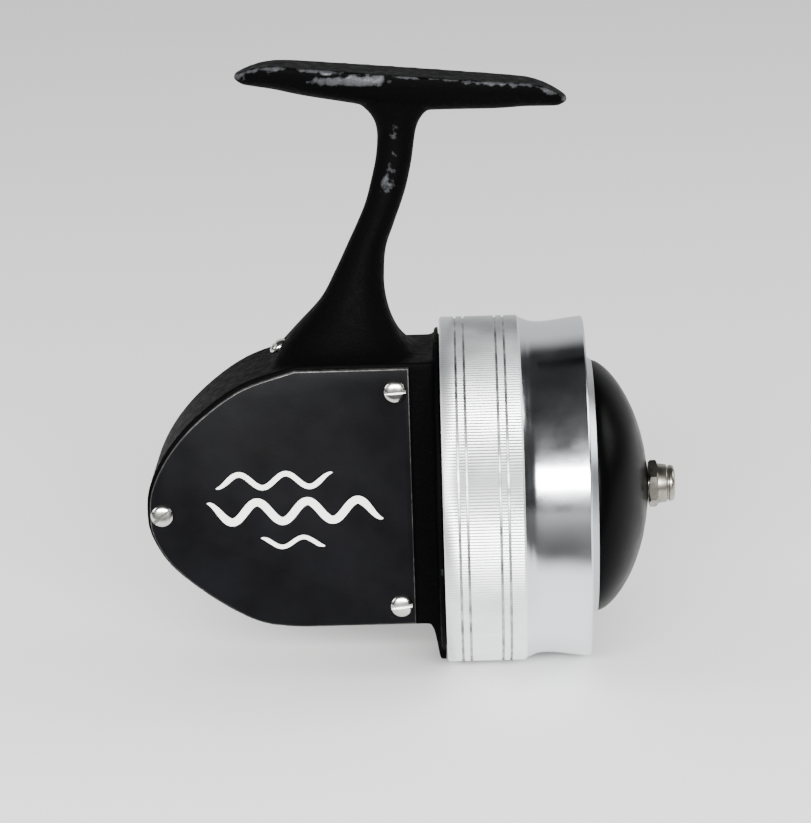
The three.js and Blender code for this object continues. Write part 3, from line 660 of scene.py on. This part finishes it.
def makePlate():
    face = case["openY"] - plate["gap"] - plate["thick"]
    bm = slab(caseOutline(0, plate["front"]), face, face + plate["thick"])
    bevelled(bm, [e for e in sharpEdges(bm) if all(v.co.y < face + 0.1 for v in e.verts)], plate["edge"], 2)
    shape = looseObject(bm)
    holes = [turned([(-20, 0), (-20, 1.4), (0, 1.4), (0, 0)], 32, "Y", spot, closed=False)
             for spot in screwSpots.values()]
    combined(shape, holes, "DIFFERENCE")
    for polygon in shape.data.polygons:
        polygon.material_index = 0 if abs(polygon.normal.y) > 0.98 else 1
    finished(shape, "side_cover_plate", "frame", [looks["plate"], looks["plateEdge"]],
             ["side_plate"])
    return face


def makeWaves(face):
    strokes = []
    for x, z, length, height, count, width in plate["waves"]:
        bm = bmesh.new()
        bmesh.ops.create_grid(bm, x_segments=96, y_segments=1, size=0.5)
        for vert in bm.verts:
            t, side = vert.co.x, vert.co.y  # t runs from -0.5 to 0.5 along the stroke
            taper = min(1, (0.5 - abs(t)) * 9) ** 0.5
            phase = t * count * math.tau
            slope = height * math.cos(phase) * count * math.tau / length
            out = Vector((-slope, 1)).normalized() * side * width * taper
            vert.co = Vector((x + t * length + out.x, face - 0.01, z + height * math.sin(phase) + out.y))
        made = bmesh.ops.extrude_face_region(bm, geom=bm.faces[:])["geom"]
        bmesh.ops.translate(bm, vec=(0, -plate["ink"], 0),
                            verts=[v for v in made if isinstance(v, bmesh.types.BMVert)])
        bmesh.ops.remove_doubles(bm, verts=bm.verts, dist=1e-4)
        bmesh.ops.recalc_face_normals(bm, faces=bm.faces)
        strokes.append(bm)
    finished(merged(strokes), "printed_waves", "frame", [looks["white"]])


plateFace = makePlate()
makeWaves(plateFace)

roundHead = {"radius": 2.15, "height": 1.15, "shank": 1.05, "long": 6.5, "slotWidth": 0.62, "slotDepth": 0.6}
slotTurns = {"plate_screw_upper": -3, "plate_screw_lower": -5, "plate_screw_rear": -37}


def makePlateScrew(node, spot):
    seat = plateFace - 0.1
    radius, height = roundHead["radius"], roundHead["height"]
    crown = [(seat - 0.3 - (height - 0.3) * math.sin(a), radius * math.cos(a))
             for a in np.linspace(0, math.pi / 2, 9)[:-1]]
    profile = [(seat + roundHead["long"], 0), (seat + roundHead["long"], roundHead["shank"]),
               (seat, roundHead["shank"]), (seat, radius, 0.12), *crown, (seat - height, 0)]
    screw = looseObject(turned(profile, 48, "Y", spot, closed=False))
    half = roundHead["slotWidth"] / 2
    slot = block((-4, seat - 3, -half), (4, seat - height + roundHead["slotDepth"], half))
    slot.transform(Matrix.Translation((spot[0], 0, spot[1]))
                   @ Matrix.Rotation(math.radians(slotTurns[node]), 4, "Y"))
    combined(screw, [slot], "DIFFERENCE")
    name = node.replace("plate_screw", "round_head_screw")
    finished(screw, name, "frame", [looks["screw"]], [node])


for node, spot in screwSpots.items():
    makePlateScrew(node, spot)
print("plate and screws made")

# ---- front cover, dome and line guide ----
cover = {
    "knurl": 32.9, "knurlEnd": 15, "rim": 32.45, "rimX": 27.2, "inner": 30.5,
    "band": [(15.9, 32.2), (16.8, 31.8), (17.7, 31.62), (18.6, 31.55), (20.5, 31.65), (23.5, 32.05),
             (25.5, 32.3)],
    "grooves": [2.95, 4.5, 10.5, 12.05], "grooveHalf": 0.15, "grooveDeep": 0.4,
    "ridges": 360, "ridgeDeep": 0.11,
}


def makeCover():
    big, end, half, deep = cover["knurl"], cover["knurlEnd"], cover["grooveHalf"], cover["grooveDeep"]
    cuts = []
    for x in cover["grooves"]:
        cuts += [(x - half - 0.1, big), (x - half, big - deep), (x + half, big - deep), (x + half + 0.1, big)]
    band = [tuple(p) for p in curveThrough(cover["band"], 3)]
    profile = [(0, cover["inner"]), (0, big - 0.35, 0.1), (0.35, big), *cuts, (end - 0.35, big),
               (end, big - 0.35), *band, (cover["rimX"] - 0.35, cover["rim"]),
               (cover["rimX"], cover["rim"] - 0.3, 0.12), (cover["rimX"] + 0.1, 25, 0.25), (28.7, 24, 0.12),
               (28.7, 22.2), (25.6, 22.2, 0.3), (25.6, 28.9, 1.2), (24.2, cover["inner"], 1.2)]
    bm = turned(profile, cover["ridges"] * 2)
    # the knurl's sunken columns get a little of the dark hollow colour, the groove bottoms all of it
    darkInHollows = bm.verts.layers.float.new("darkInHollows")
    for vert in bm.verts:
        out = math.hypot(vert.co.y, vert.co.z)
        column = round(math.atan2(vert.co.z, vert.co.y) / math.tau * cover["ridges"] * 2)
        if out > big - 0.05 and column % 2:
            vert[darkInHollows] = 0.3
            vert.co.y *= 1 - cover["ridgeDeep"] / out
            vert.co.z *= 1 - cover["ridgeDeep"] / out
        elif vert.co.x < end - 1 and cover["inner"] + 0.5 < out < big - deep + 0.05:
            vert[darkInHollows] = 1
    for face in bm.faces:
        middle = face.calc_center_median()
        out = math.hypot(middle.y, middle.z)
        face.material_index = 0 if middle.x < end or out < cover["inner"] + 0.4 and middle.x < 26 else 1
        if middle.x > cover["rimX"] - 0.02:
            face.material_index = 2
    finished(bm, "turned_front_cover", "cover",
             [looks["knurl"], looks["band"], looks["face"]], ["front_cover"], 40)


dome = {"base": 23.9, "baseX": 28.8, "height": 10.2, "thick": 1.5, "hole": 2.7, "samples": 26}


def makeDome():
    def out(t):
        return dome["base"] * math.sqrt(max(0, 1 - t ** 1.5))

    shares = [1 - math.cos(a) for a in np.linspace(0, math.pi / 2, dome["samples"])]
    skin = [(dome["baseX"] + dome["height"] * t, out(t)) for t in shares if out(t) > dome["hole"]]
    tip = dome["baseX"] + dome["height"]
    lining = [(x - dome["thick"], max(r - 0.9, dome["hole"])) for x, r in reversed(skin) if 5 < r < 21.5]
    profile = [(26, 21.9), (dome["baseX"], 21.9), *skin, (tip, dome["hole"]),
               (tip - dome["thick"], dome["hole"]), *lining, (dome["baseX"], 20.6), (26, 20.6)]
    shell = turned(profile, 128)
    finished(shell, "black_nose_dome", "cover", [looks["dome"]], ["nose_dome"], 40)


guide = {"flats": 8, "hexX": (39.1, 40.8), "tip": 44.1, "bore": 1.5, "shank": 2.5}


def hexOutline(flats, at=(0, 0), turn=30):
    corner = flats / 2 / math.cos(math.pi / 6)
    angles = [math.radians(turn + 60 * i) for i in range(6)]
    return [(at[0] + corner * math.cos(a), at[1] + corner * math.sin(a)) for a in angles]


def nutBlank(flats, low, high, axis, at=(0, 0), chamfer=0.35):
    # a hexagon whose corners are turned off at both ends
    corner = flats / 2 / math.cos(math.pi / 6)
    blank = looseObject(slab(hexOutline(flats, at), low, high, axis))
    cone = turned([(low, 0), (low, corner - chamfer * 1.6), (low + chamfer, corner + 0.05),
                   (high - chamfer, corner + 0.05), (high, corner - chamfer * 1.6), (high, 0)], 72, axis, at,
                  closed=False)
    return combined(blank, [cone], "INTERSECT")


def makeGuide():
    x0, x1 = guide["hexX"]
    shank, tip = guide["shank"], guide["tip"]
    barrel = turned([(35.4, 0), (35.4, shank), (x0 + 0.2, shank), (x0 + 0.2, 3.8), (x1, 3.85, 0.1),
                     (x1 + 1.7, 3.6, 0.15), (x1 + 1.85, 3.2, 0.1), (x1 + 2.05, 3.2, 0.1),
                     (x1 + 2.2, 3.5, 0.15), (tip - 0.3, 3.4, 0.5), (tip, 2.6, 0.3), (tip, 0)], 64, closed=False)
    eye = nutBlank(guide["flats"], x0, x1, "X")
    combined(eye, [barrel], "UNION")
    hole = turned([(30, 0), (30, guide["bore"]), (tip - 0.8, guide["bore"]), (tip, 2.2), (50, 2.2), (50, 0)],
                  48, closed=False)
    combined(eye, [hole], "DIFFERENCE")
    finished(eye, "line_guide_eye", "cover", [looks["nickel"]], ["line_guide"])


makeCover()
makeDome()
makeGuide()
print("cover, dome and guide made")

# ---- crank and knob ----
knobAt = jointPlace("knob_spin")
knobSpot = (knobAt.x, knobAt.z)
armLow, armHigh = drawnBox("crank_arm")
knobLow, knobHigh = drawnBox("handle_knob")
crank = {"hub": 6, "tip": 4.6, "waist": 3.6, "edge": 0.55, "hubHole": 2.65, "tipHole": 1.95}


def armOutline():
    # round ends joined by sides that draw in a little between them
    reach = Vector(knobSpot) - Vector(crankSpot)
    heading = math.atan2(reach.y, reach.x)
    points = []
    for centre, radius, start in ((Vector(crankSpot), crank["hub"], math.pi / 2),
                                  (Vector(knobSpot), crank["tip"], -math.pi / 2)):
        for i in range(17):
            a = heading + start + math.pi * i / 16
            points.append(centre + radius * Vector((math.cos(a), math.sin(a))))
        sign = 1 if start > 0 else -1
        aside = Vector((reach.y, -reach.x)).normalized() * sign
        for t in (0.3, 0.5, 0.7):
            share = t if sign > 0 else 1 - t
            wide = crank["waist"] + 2 * abs(t - 0.5)
            points.append(Vector(crankSpot) + reach * share + aside * wide)
    return [tuple(p) for p in points]


def makeArm():
    bm = slab(armOutline(), armLow.y, armHigh.y)
    bevelled(bm, sharpEdges(bm, 60), crank["edge"], 4)
    arm = looseObject(bm)
    holes = [turned([(0, 0), (0, r), (40, r), (40, 0)], 40, "Y", spot, closed=False)
             for spot, r in ((crankSpot, crank["hubHole"]), (knobSpot, crank["tipHole"]))]
    combined(arm, holes, "DIFFERENCE")
    finished(arm, "crank_arm_bar", "crank", [looks["nickel"]], ["crank_arm"])


def makeCrankNut():
    low, high = drawnBox("crank_nut")
    nut = nutBlank(8, low.y, high.y, "Y", crankSpot)
    hole = turned([(0, 0), (0, 2.6), (40, 2.6), (40, 0)], 40, "Y", crankSpot, closed=False)
    combined(nut, [hole], "DIFFERENCE")
    finished(nut, "crank_hex_nut", "crank", [looks["nickel"]], ["crank_nut"])


def makeCrankShaft():
    low, high = drawnBox("crank_shaft")
    threads = [(armLow.y + 0.4 + 0.25 * i, 2.45 if i % 2 else 2.25) for i in range(20)]
    shaft = looseObject(turned([(low.y, 0), (low.y, 3), (armLow.y - 0.2, 3), (armLow.y - 0.2, 2.45), *threads,
                                (high.y, 2, 0.3), (high.y, 0)], 48, "Y", crankSpot, closed=False))
    hole = turned([(0, 0), (0, 1.4), (11, 1.4), (11, 0)], 32, "Y", crankSpot, closed=False)
    combined(shaft, [hole], "DIFFERENCE")
    finished(shaft, "crank_spindle", "crank", [looks["steel"]], ["crank_shaft"])


def makeRivet():
    low, high = drawnBox("knob_rivet")
    head = knobHigh.y + 0.2
    profile = [(low.y, 0), (low.y, 1.9, 0.4), (low.y + 0.6, 2.6, 0.1), (low.y + 0.6, 1.8),
               (armHigh.y + 0.2, 1.8), (armHigh.y + 0.2, 3, 0.15), (knobLow.y - 0.3, 3, 0.15),
               (knobLow.y - 0.3, 1.9), (head, 1.9), (head, 3.05, 0.1), (head + 0.35, 3, 0.2),
               (head + 0.8, 2.2, 0.4), (high.y, 1, 0.3), (high.y, 0)]
    rivet = turned(profile, 56, "Y", knobSpot, closed=False)
    finished(rivet, "knob_pin", "crank", [looks["nickel"]], ["knob_rivet"])


def makeKnob():
    y0, y1 = knobLow.y, knobHigh.y
    outer = curveThrough([(y0 + 0.9, 3.85), (y0 + 3, 4), (y0 + 6.5, 4.65), (y0 + 10, 5.15), (y0 + 13, 4.95),
                          (y1 - 1.1, 4.2)], 5)
    rings = [(y0 + 0.9, 3.95), (y0 + 1.1, 3.7), (y0 + 1.4, 3.7), (y0 + 1.6, 4)]
    profile = [(y0, 2.2), (y0, 3.6, 0.3), *rings, *[tuple(p) for p in outer if p[0] > y0 + 1.7],
               (y1 - 0.3, 3.7, 0.5), (y1, 3.2, 0.3), (y1, 2.2)]
    finished(turned(profile, 80, "Y", knobSpot), "amber_knob", "knob", [looks["amber"]],
             ["handle_knob"])


makeArm()
makeCrankNut()
makeCrankShaft()
makeRivet()
makeKnob()
print("crank made")

# ---- winding head, spool and line ----
rotor = {"open": 12, "disc": 19.2, "front": 21.2, "skirt": 28.5, "skirtIn": 27, "bore": 2.65}
pin = {"x": 16.2, "radius": 1.1, "tail": 20.6, "tip": 29.7, "collar": 1.9, "collarAt": 25.4}


def upright(profile, steps=40):
    # spun about the pickup pin's axis, which stands out from the winding head
    bm = turned(profile, steps, closed=False)
    bm.transform(Matrix.Translation((pin["x"], 0, 0)) @ Matrix.Rotation(-math.pi / 2, 4, "Y"))
    return bm


def makeWindingHead():
    disc, front, skirt, inner = rotor["disc"], rotor["front"], rotor["skirt"], rotor["skirtIn"]
    cup = looseObject(turned([
        (disc, rotor["bore"]), (disc, inner - 0.2, 1.4), (rotor["open"], inner, 0.2),
        (rotor["open"], skirt, 0.3), (front - 1.2, skirt, 1.2), (front, skirt - 1.9, 1.1), (front, 12, 0.3),
        (front - 0.5, 11, 0.3), (front - 0.5, 6, 0.3), (front, 5.4, 0.2), (front, rotor["bore"])], 144))
    lug = block((pin["x"] - 2.2, -2.6, 20.2), (disc + 0.5, 2.6, 21.4))
    combined(cup, [lug], "UNION")
    combined(cup, [upright([(17, 0), (17, 1.35), (32, 1.35), (32, 0)])], "DIFFERENCE")
    finished(cup, "winding_head_cup", "winding_head", [looks["spoolMetal"]], ["rotor_cup"])


def makePin():
    at, tip, r = pin["collarAt"], pin["tip"], pin["radius"]
    finished(upright([(pin["tail"], 0), (pin["tail"], r, 0.2), (at, r), (at, pin["collar"], 0.1),
                      (at + 0.8, pin["collar"], 0.1), (at + 0.8, r), (tip, r, 0.45), (tip, 0)]),
             "pickup_pin_rod", "pin", [looks["steel"]], ["pickup_pin"])


def makeShaftNut():
    low, high = drawnBox("rotor_nut")
    nut = nutBlank(8, low.x, high.x, "X")
    combined(nut, [turned([(10, 0), (10, 2.65), (40, 2.65), (40, 0)], 40, closed=False)], "DIFFERENCE")
    finished(nut, "winding_head_nut", "winding_head", [looks["nickel"]], ["rotor_nut"])


spool = {"x0": 3, "x1": 13, "flange": 25, "hub": 12, "thick": 1.2, "bore": 5.9}
winding = {"radius": 22.3, "strand": 0.36, "gap": 0.3}


def makeSpool():
    x0, x1, big, hub, t = spool["x0"], spool["x1"], spool["flange"], spool["hub"], spool["thick"]
    reel = turned([(x0, spool["bore"]), (x0, big, 0.5), (x0 + t, big, 0.5), (x0 + t, hub, 0.1),
                   (x1 - t, hub, 0.1), (x1 - t, big, 0.5), (x1, big, 0.5), (x1, spool["bore"])], 128)
    finished(reel, "line_spool", "spool", [looks["spoolMetal"]], ["spool"])


def makeWinding():
    # level-wound line: rows of strands lie side by side, the crown a little higher in the middle
    x0 = spool["x0"] + spool["thick"] + winding["gap"]
    x1 = spool["x1"] - spool["thick"] - winding["gap"]
    inner = spool["hub"] + winding["gap"]
    count = int((x1 - x0) / winding["strand"])
    crown = []
    for i in range(count):
        for share in (0.08, 0.3, 0.5, 0.7, 0.92):
            x = x0 + (i + share) * (x1 - x0) / count
            bump = winding["strand"] / 2 * math.sin(math.pi * share)
            swell = 0.35 * math.sin(math.pi * (x - x0) / (x1 - x0))
            crown.append((x, winding["radius"] - 0.5 + bump + swell))
    bm = turned([(x0, inner), *crown, (x1, inner)], 120)
    for vert in bm.verts:
        out = math.hypot(vert.co.y, vert.co.z)
        if out > inner + 1:  # strands wander a little as they are laid
            angle = math.atan2(vert.co.z, vert.co.y)
            vert.co.x += 0.07 * math.sin(2 * angle + vert.co.x) if x0 + 0.2 < vert.co.x < x1 - 0.2 else 0
    finished(bm, "wound_line", "spool", [looks["line"]], ["line_winding"])


makeWindingHead()
makePin()
makeShaftNut()
makeSpool()
makeWinding()
print("winding head and spool made")

# ---- fittings whose CAD shape is right as it is ----
kept = {
    "brass": ["crank_bushing", "drive_gear", "pinion", "rear_shaft_bushing", "front_shaft_bushing",
              "drag_nut"],
    "steel": ["thrust_washer", "gear_screw", "centre_shaft", "shaft_clip", "spool_sleeve", "drag_spring",
              "pickup_spring"],
    "fibre": ["spool_rear_washer", "drag_washer"],
    "nickel": ["guide_locknut"],
}
for look, nodes in kept.items():
    for node in nodes:
        frame["nodes"][node].data.materials.clear()
        frame["nodes"][node].data.materials.append(looks[look])

# ---- stage, lights and camera ----
studio = {
    "floorSize": 12, "floorDrop": 0.4 * mm, "paper": "#e4e4e3",
    "azimuth": 1.0, "elevation": 14.0, "roll": 1.8, "distance": 650, "aim": (-6.81, 0, 15.44), "focal": 149.6,
}


def makeFloor():
    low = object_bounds()[0]
    bm = bmesh.new()
    bmesh.ops.create_grid(bm, x_segments=2, y_segments=2, size=studio["floorSize"])
    bm.transform(Matrix.Translation((0, 0, low.z - studio["floorDrop"])))
    floor = looseObject(bm, "floor")
    paper, tree, shader, place = newMaterial("paper backdrop", studio["paper"], 0.0, 0.9)
    # painted dark reflection: in front, the sheet turns near-black for glossy rays only, standing in for an
    # unlit room that polished parts would reflect
    apart = add(tree, "ShaderNodeSeparateXYZ", inputs={"Vector": place})
    ahead = add(tree, "ShaderNodeMapRange", {"interpolation_type": "SMOOTHSTEP"}, {
        "Value": apart.outputs["Y"], "From Min": -0.05, "From Max": -0.075})
    mirrored = add(tree, "ShaderNodeLightPath").outputs["Is Glossy Ray"]
    unlit = add(tree, "ShaderNodeMath", {"operation": "MULTIPLY"}, {0: ahead.outputs["Result"], 1: mirrored})
    seen = blend(tree, unlit.outputs["Value"], studio["paper"], "#0a0a0c")
    tree.links.new(seen, shader.inputs["Base Color"])
    floor.data.materials.append(paper)


def makeWorld():
    # pale behind, dim in front and overhead, so that bright metal has something dark to reflect
    world = bpy.data.worlds.new("studio")
    bpy.context.scene.world = world
    world.use_nodes = True
    tree = world.node_tree
    tree.nodes.clear()
    heading = add(tree, "ShaderNodeTexCoord").outputs["Generated"]
    apart = add(tree, "ShaderNodeSeparateXYZ", inputs={"Vector": heading})
    behind = add(tree, "ShaderNodeMapRange", {"interpolation_type": "SMOOTHSTEP"}, {
        "Value": apart.outputs["Y"], "From Min": 0.5, "From Max": 0.8, "To Min": 0.03, "To Max": 1.0})
    paths = add(tree, "ShaderNodeLightPath")
    plain = add(tree, "ShaderNodeMath", {"operation": "SUBTRACT"}, {
        0: 1.0, 1: paths.outputs["Is Glossy Ray"]})
    level = add(tree, "ShaderNodeMix", {"data_type": "FLOAT"}, {
        0: plain.outputs["Value"], 2: behind.outputs["Result"], 3: 1.25})
    glow = add(tree, "ShaderNodeBackground", inputs={
        "Color": linear("#eceded"), "Strength": level.outputs[0]})
    add(tree, "ShaderNodeOutputWorld", inputs={"Surface": glow.outputs["Background"]})


def areaLight(name, place, aim, size, power):
    light = bpy.data.lights.new(name, "AREA")
    light.shape = "RECTANGLE"
    light.size, light.size_y = size
    light.energy = power
    lamp = bpy.data.objects.new(name, light)
    bpy.context.scene.collection.objects.link(lamp)
    lamp.location = place
    lamp.rotation_euler = (Vector(aim) - Vector(place)).to_track_quat("-Z", "Y").to_euler()


def makeCamera():
    aim = home + Vector(studio["aim"]) * mm
    azimuth, elevation = math.radians(studio["azimuth"]), math.radians(studio["elevation"])
    back = Vector((math.sin(azimuth) * math.cos(elevation), -math.cos(azimuth) * math.cos(elevation),
                   math.sin(elevation)))
    data = bpy.data.cameras.new("camera")
    data.lens = studio["focal"]
    data.sensor_width = 36
    data.clip_start, data.clip_end = 0.01, 100
    camera = bpy.data.objects.new("camera", data)
    bpy.context.scene.collection.objects.link(camera)
    camera.location = aim + back * studio["distance"] * mm
    turn = (-back).to_track_quat("-Z", "Y").to_matrix().to_4x4()
    turn = turn @ Matrix.Rotation(math.radians(-studio["roll"]), 4, "Z")
    camera.rotation_euler = turn.to_euler()
    bpy.context.scene.camera = camera


makeFloor()
makeWorld()
middle = (Vector(cadBox[0]) + Vector(cadBox[1])) / 2
areaLight("flash", middle + Vector((0.0, -0.95, 0.32)), middle, (0.95, 0.2), 36)
areaLight("left_fill", middle + Vector((-1.0, -0.2, 0.5)), middle, (0.5, 0.5), 5)
areaLight("right_fill", middle + Vector((1.0, 0.1, 0.5)), middle, (0.5, 0.5), 5)
makeCamera()
print("stage set")
